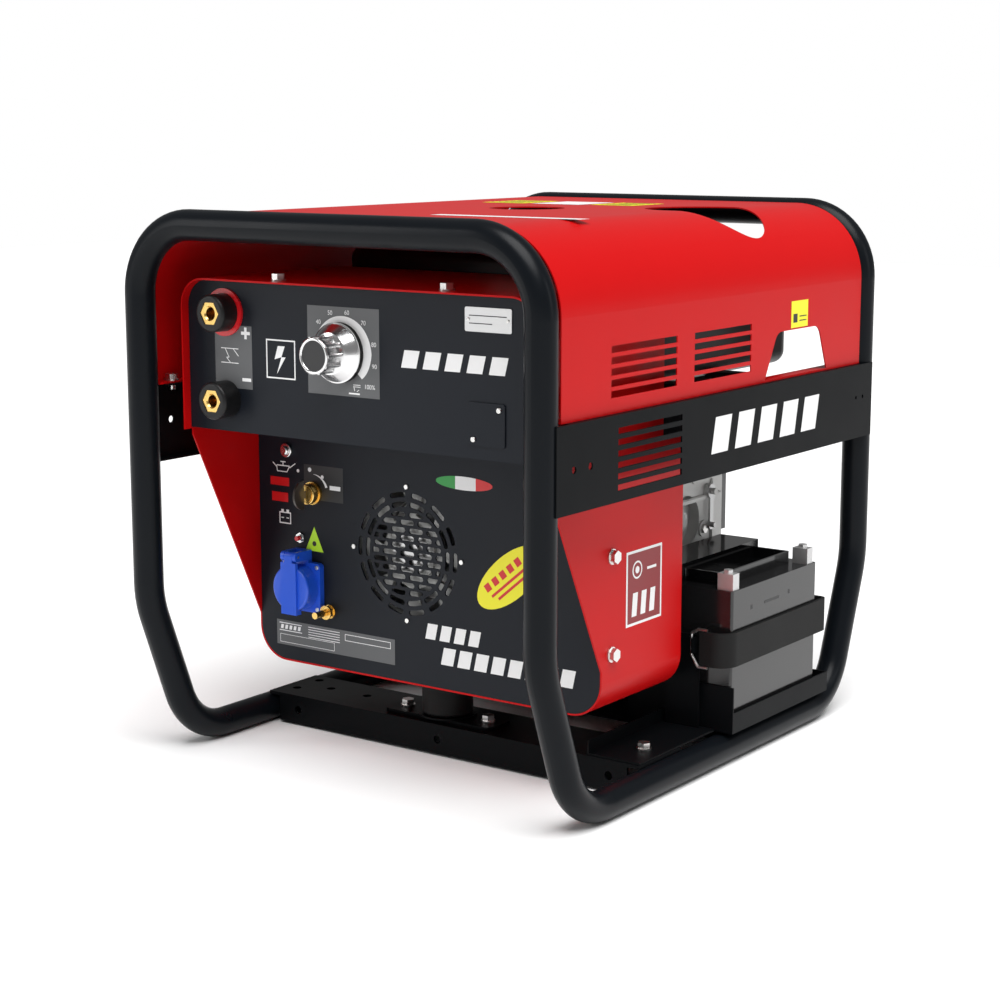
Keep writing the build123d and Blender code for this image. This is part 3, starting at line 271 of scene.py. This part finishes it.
def knobs(name, spots, radius, length, m, sides=16):
    """Short bars that stand out along +X from (x, y, z) spots in millimetres."""
    verts, faces = [], []
    for x, y, z in spots:
        base = len(verts)
        for dx in (0.0, length):
            for k in range(sides):
                t = math.tau * k / sides
                verts.append(side(y + radius * math.cos(t), z + radius * math.sin(t), x + dx))
        for k in range(sides):
            a, b = base + k, base + (k + 1) % sides
            faces.append([a, b, b + sides, a + sides])
        faces.append([base + sides + k for k in range(sides)])
    return add(name, verts, faces, m)


def ribs(name, boxes, m, edge=1.2):
    """Bars with rounded edges, each given by its lowest and highest (x, y, z) in millimetres."""
    verts, faces = [], []
    for low, high in boxes:
        form = bmesh.new()
        bmesh.ops.create_cube(form, size=1.0)
        for v in form.verts:
            v.co = [(lo if c < 0 else hi) / MM for c, lo, hi in zip(v.co, low, high)]
        bmesh.ops.bevel(form, geom=form.edges[:], offset=edge / MM, segments=3, affect="EDGES")
        form.verts.index_update()
        base = len(verts)
        verts += [tuple(v.co) for v in form.verts]
        faces += [[base + v.index for v in f.verts] for f in form.faces]
        form.free()
    return add(name, verts, faces, m)


# ---- Where print goes: the outer faces of the nodes, in millimetres ----
def face(node, corner, axis):
    """One coordinate of a node's lowest (0) or highest (1) corner."""
    return round(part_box(node)[corner][axis] * MM, 3)


LOW, HIGH = 0, 1
X, Y, Z = 0, 1, 2
UP_Y = face("upper_panel", LOW, Y)
LOW_Y = face("lower_panel", LOW, Y)
RATING_Y = face("rating_plate", LOW, Y)
BAND_X = face("right_side_band", HIGH, X)
HOOD_X = face("hood", HIGH, X)
HOOD_Z = face("hood", HIGH, Z)
CASING_X = face("lower_casing", HIGH, X)
BATTERY_X = face("battery_case", HIGH, X)
KX, KZ = (round((face("current_knob", LOW, axis) + face("current_knob", HIGH, axis)) / 2, 3)
          for axis in (X, Z))

# How far each layer of print stands off its face.
PRINT = 0.2
INK = 0.35
OVERPRINT = 0.5
PLATE_INK = 0.15

# ---- Upper panel ----
decal("polarity_label", [rect(-201, -146, 434, 504)], front, UP_Y - PRINT, GREY)
decal("polarity_signs", [rect(-161.5, -148.5, 494.2, 497.8), rect(-156.8, -153.2, 497.8, 502.5),
      rect(-156.8, -153.2, 489.5, 494.2), rect(-161, -148, 442.5, 446.2)],
      front, UP_Y - INK, WHITE)
decal("polarity_icon", line([(-192, 478), (-166, 478)], 0.9) + line([(-192, 462), (-166, 462)], 0.9)
      + line([(-186, 478), (-180, 468), (-184, 468), (-178, 462)], 0.9)
      + line([(-174, 478), (-166, 470)], 0.9),
      front, UP_Y - INK, WHITE)
decal("arc_label_frame", frame_of(-125, -83, 449, 492, 1.6), front, UP_Y - PRINT, WHITE)
decal("arc_label_symbol", [[(-108, 485), (-98, 485), (-103, 473), (-113, 470)],
                           [(-103, 473), (-97, 473), (-110, 454)]], front, UP_Y - PRINT, WHITE)

decal("dial_plate", [rect(-65, 34, 437, 532)], front, UP_Y - PRINT, GREY)
DIAL_INNER = 31.0
# (angle, outer radius) along the dial's arc, which grows wider clockwise.
DIAL_EDGE = ((145, 36.5), (90, 38.8), (45, 41.5), (0, 43.0), (-30, 41.5), (-42, 40.0))
decal("dial_arc", [quad for (a0, r0), (a1, r1) in zip(DIAL_EDGE, DIAL_EDGE[1:])
                   for quad in arc(KX, KZ, DIAL_INNER, (r0, r1), a0, a1, 16)], front, UP_Y - INK, WHITE)
DIAL_NUMBERS = (("40", 134, 43), ("50", 108, 43.6), ("60", 77, 43.8), ("70", 45.5, 46), ("80", 13, 47.4),
                ("90", -15, 48.4), ("100%", -41, 53))
NUMBER_HEIGHT = 4.8
for text, angle, reach in DIAL_NUMBERS:
    digits("dial_" + text.strip("%"), text, KX + reach * math.cos(math.radians(angle)),
           KZ + reach * math.sin(math.radians(angle)), NUMBER_HEIGHT, front, UP_Y - INK, WHITE)
decal("dial_icon", line([(-8, 440.5), (7, 440.5)], 1.6) + line([(-2, 448), (8, 448)], 0.7)
      + line([(-2, 450), (8, 450)], 0.7) + line([(-1, 448), (0, 443.5)], 0.8)
      + line([(3, 443), (6, 445)], 0.6),
      front, UP_Y - INK, WHITE)

decal("panel_mark", [rect(63 + n * 28.3, 63 + n * 28.3 + 20, 473, 491.5, 0.25) for n in range(5)],
      front, UP_Y - PRINT, WHITE)
decal("rating_lines", [rect(152, 199, 532, 533), rect(152, 181, 524, 525)], front, RATING_Y - PLATE_INK, DARK)

# The knob's face, the rim round it and a black ring behind its skirt, which is a painted shadow of the knob.
turned("knob_face_rim", [(19.3, -345.1), (19.6, -346.6), (17.6, -347.2), (16.2, -346.4), (16.0, -345.2)],
       (KX, KZ), M["knob_chrome"], "current_knob")
turned("knob_face", [(16.2, -345.6), (0.01, -345.6)], (KX, KZ), DARK, "current_knob")
turned("knob_shadow_ring", [(30.0, -302.9), (32.4, -302.9), (32.4, -308.6), (31.9, -308.9)], (KX, KZ),
       M["mount_rubber"], "current_knob", n=64)

# ---- Lower panel ----
decal("oil_icon", line([(-212, 322), (-197, 322), (-193, 329), (-213, 329), (-212, 322)], 1.2)
      + line([(-193, 327), (-184, 333)], 1.2) + line([(-219, 332), (-213, 327)], 1.2) + [disc(-180, 325, 2.0)]
      + line([(-203, 329.6), (-203, 333)], 1.2) + line([(-207, 333.6), (-199, 333.6)], 1.2),
      front, LOW_Y - PRINT, WHITE)
decal("lamp_bars", [rect(-223, -194, 305, 315), rect(-221, -196, 286, 297)], front, LOW_Y - PRINT, RED)
decal("battery_icon", frame_of(-210, -192, 260, 274, 1.4)
      + [rect(-207, -203, 274, 277), rect(-199, -195, 274, 277)]
      + [rect(-207, -203, 266.4, 267.6), rect(-199, -195, 266.4, 267.6)], front, LOW_Y - PRINT, WHITE)
decal("switch_label", [rect(-171, -112, 293, 334)], front, LOW_Y - PRINT, DARK)
decal("switch_marks", [disc(-162, 328, 2.6), disc(-143, 321, 2.2), rect(-132, -116, 307, 312)]
      + arc(-157, 301, (22, 20), (22.4, 23.4), 88, 22, 16), front, LOW_Y - INK, WHITE)
decal("caution_triangle", [[(-170, 232), (-143, 232), (-156.5, 261)]], front, LOW_Y - PRINT, LIME)
decal("caution_mark", [disc(-156.5, 241, 3.0)], front, LOW_Y - INK, DARK)
decal("data_plate", [rect(-217, -38, 113, 143)], front, LOW_Y - PRINT, GREY)
decal("data_lines", [rect(-213, -178, 139, 140), rect(-213, -178, 130, 131)]
      + [rect(-211 + n * 6.6, -207 + n * 6.6, 132.5, 137.5, 0.2) for n in range(5)]
      + [rect(-168, -120, v, v + 0.8) for v in (139, 136, 133, 130, 127)]
      + frame_of(-112, -44, 131, 139, 0.7) + frame_of(-212, -128, 116, 126, 0.5), front, LOW_Y - INK, WHITE)


decal("pill_green", [lens(22.5, 49)], front, LOW_Y - PRINT, GREEN)
decal("pill_white", [lens(49, 77)], front, LOW_Y - PRINT, WHITE)
decal("pill_red", [lens(77, 99.5)], front, LOW_Y - PRINT, RED)
decal("oval_label", [disc(123, 236, 54, 24, turn=40)], front, LOW_Y - PRINT, YELLOW)
decal("oval_marks", [slanted(shape) for shape in
                     [rect(-36 + n * 13, -28 + n * 13, 3, 12) for n in range(5)]
                     + [rect(-34, 30, -5, -2), rect(-28, 18, -12, -9)]], front, LOW_Y - INK, RED)
decal("name_stripes", [rect(6 + n * 20, 20 + n * 20, 151, 169, 0.22) for n in range(4)]
      + [rect(28 + n * 23, 45 + n * 23, 124, 144, 0.22) for n in range(8)], front, LOW_Y - PRINT, WHITE)

# ---- Right side band, hood and casing labels ----
decal("band_mark", [rect(-47 + n * 52, -11 + n * 52, 369, 409, 0.22) for n in range(5)],
      side, BAND_X + PRINT, WHITE)
decal("hood_sticker", [rect(145, 186, 491, 522)], side, HOOD_X + PRINT, YELLOW)
decal("hood_sticker_lines",
      [rect(150, 160, 497, 507), rect(165, 182, 498, 499.2), rect(165, 182, 503, 504.2)],
      side, HOOD_X + INK, DARK)
decal("casing_label", [rect(-143, -70, 187, 270)], side, CASING_X + PRINT, WHITE)
decal("casing_label_field", [rect(-140, -73, 190, 267)], side, CASING_X + INK, DARK_RED)
decal("casing_label_marks", [rect(-132 + n * 18, -122 + n * 18, 197, 223, 0.1) for n in range(3)]
      + arc(-121, 248, 8, 10, 0, 360, 20) + [disc(-121, 248, 4), rect(-101, -82, 245, 248)],
      side, CASING_X + OVERPRINT, WHITE)

# ---- Hood top labels ----
decal("hood_top_strip", [rect(32, 225, -211, -191)], top, HOOD_Z + PRINT, WHITE)
decal("hood_top_yellow", [rect(-133, -70, 110, 190), rect(20, 80, 120, 196)], top, HOOD_Z + PRINT, YELLOW)
decal("hood_top_white", [rect(-60, 10, 112, 192)], top, HOOD_Z + PRINT, WHITE)
decal("hood_top_lines", [rect(-126, -78, v, v + 4) for v in (120, 134, 148, 162, 176)]
      + [rect(28, 72, v, v + 4) for v in (130, 144, 158, 172, 186)], top, HOOD_Z + INK, DARK)

# ---- Battery detail ----
decal("battery_marks", [rect(92, 128, 176, 179), rect(60, 64, 175, 180), rect(150, 154, 177, 182)],
      side, BATTERY_X + PRINT, DARK)

# ---- Engine detail on the right of the crankcase ----
knobs("crankcase_bolts", [(140, y, z) for y, z in
                          ((40, 300), (232, 300), (228, 160), (128, 290), (196, 232), (122, 222))],
      6.0, 5.0, M["zinc_steel"], 6)
knobs("crankcase_bosses", [(139.5, 128, 290), (139.5, 196, 232), (139.5, 122, 222), (139.5, 176, 300)],
      10.0, 2.5, M["cast_aluminium"], 24)
ribs("crankcase_ribs", [((138, y, 150), (143, y + 5, 292)) for y in (62, 112, 214)]
     + [((138, 60, z), (144, 236, z + 6)) for z in (146, 268)], M["cast_aluminium"])
knobs("oil_drain", [(139, 84, 216)], 11.0, 14.0, M["zinc_steel"], 6)

# ---- Stage, light and camera ----
FLOOR = 8.0  # half the floor's width, in metres
floor = bpy.data.objects.new("floor", bpy.data.meshes.new("floor"))
floor.data.from_pydata([(-FLOOR, -FLOOR, 0), (FLOOR, -FLOOR, 0), (FLOOR, FLOOR, 0), (-FLOOR, FLOOR, 0)],
                       [], [[0, 1, 2, 3]])
floor.data.materials.append(material("pale_floor", (0.90, 0.90, 0.90), rough=0.7, tint=0.0))
bpy.context.scene.collection.objects.link(floor)

# The backdrop is white, and the light that it gives is dimmer than it looks.
AMBIENT = 0.24
BACKDROP = 1.0
world = bpy.data.worlds.new("studio")
world.use_nodes = True
nodes, links = world.node_tree.nodes, world.node_tree.links
ambient = nodes["Background"]
ambient.inputs["Color"].default_value = (1, 1, 1, 1)
ambient.inputs["Strength"].default_value = AMBIENT
backdrop = nodes.new("ShaderNodeBackground")
backdrop.inputs["Color"].default_value = (1, 1, 1, 1)
backdrop.inputs["Strength"].default_value = BACKDROP
path = nodes.new("ShaderNodeLightPath")
mix = nodes.new("ShaderNodeMixShader")
links.new(path.outputs["Is Camera Ray"], mix.inputs["Fac"])
links.new(ambient.outputs["Background"], mix.inputs[1])
links.new(backdrop.outputs["Background"], mix.inputs[2])
links.new(mix.outputs["Shader"], nodes["World Output"].inputs["Surface"])
bpy.context.scene.world = world
bpy.context.scene.view_settings.view_transform = "Standard"


def lamp(name, place, aim, size, power):
    light = bpy.data.lights.new(name, "AREA")
    light.shape = "RECTANGLE"
    light.size, light.size_y = size
    light.energy = power
    holder = bpy.data.objects.new(name, light)
    holder.location = place
    direction = [b - a for a, b in zip(place, aim)]
    flat = math.hypot(direction[0], direction[1])
    holder.rotation_euler = (math.atan2(flat, -direction[2]), 0, math.atan2(-direction[0], direction[1]))
    bpy.context.scene.collection.objects.link(holder)


MIDDLE = (0, 0, 0.35)  # the middle of the machine, which the lamps face
lamp("right_softbox", (2.6, 0.7, 1.3), MIDDLE, (0.6, 1.6), 6)
lamp("front_softbox", (-1.9, -2.2, 1.3), MIDDLE, (0.7, 1.6), 16)
sky = bpy.data.objects.new("overhead_light", bpy.data.lights.new("overhead_light", "SUN"))
sky.data.energy = 4.4
sky.data.angle = math.radians(50)
sky.rotation_euler = (math.radians(14), math.radians(18), 0)
bpy.context.scene.collection.objects.link(sky)

camera = bpy.data.objects.new("camera", bpy.data.cameras.new("camera"))
camera.location = (1.4193, -2.0169, 0.7261)
DOWN, AROUND = 10.223, 35.634  # degrees below level, and round from the front
camera.rotation_euler = (math.radians(90 - DOWN), 0, math.radians(AROUND))
camera.data.lens = 75.61
camera.data.sensor_width = 36
camera.data.clip_end = 60
bpy.context.scene.collection.objects.link(camera)
bpy.context.scene.camera = camera
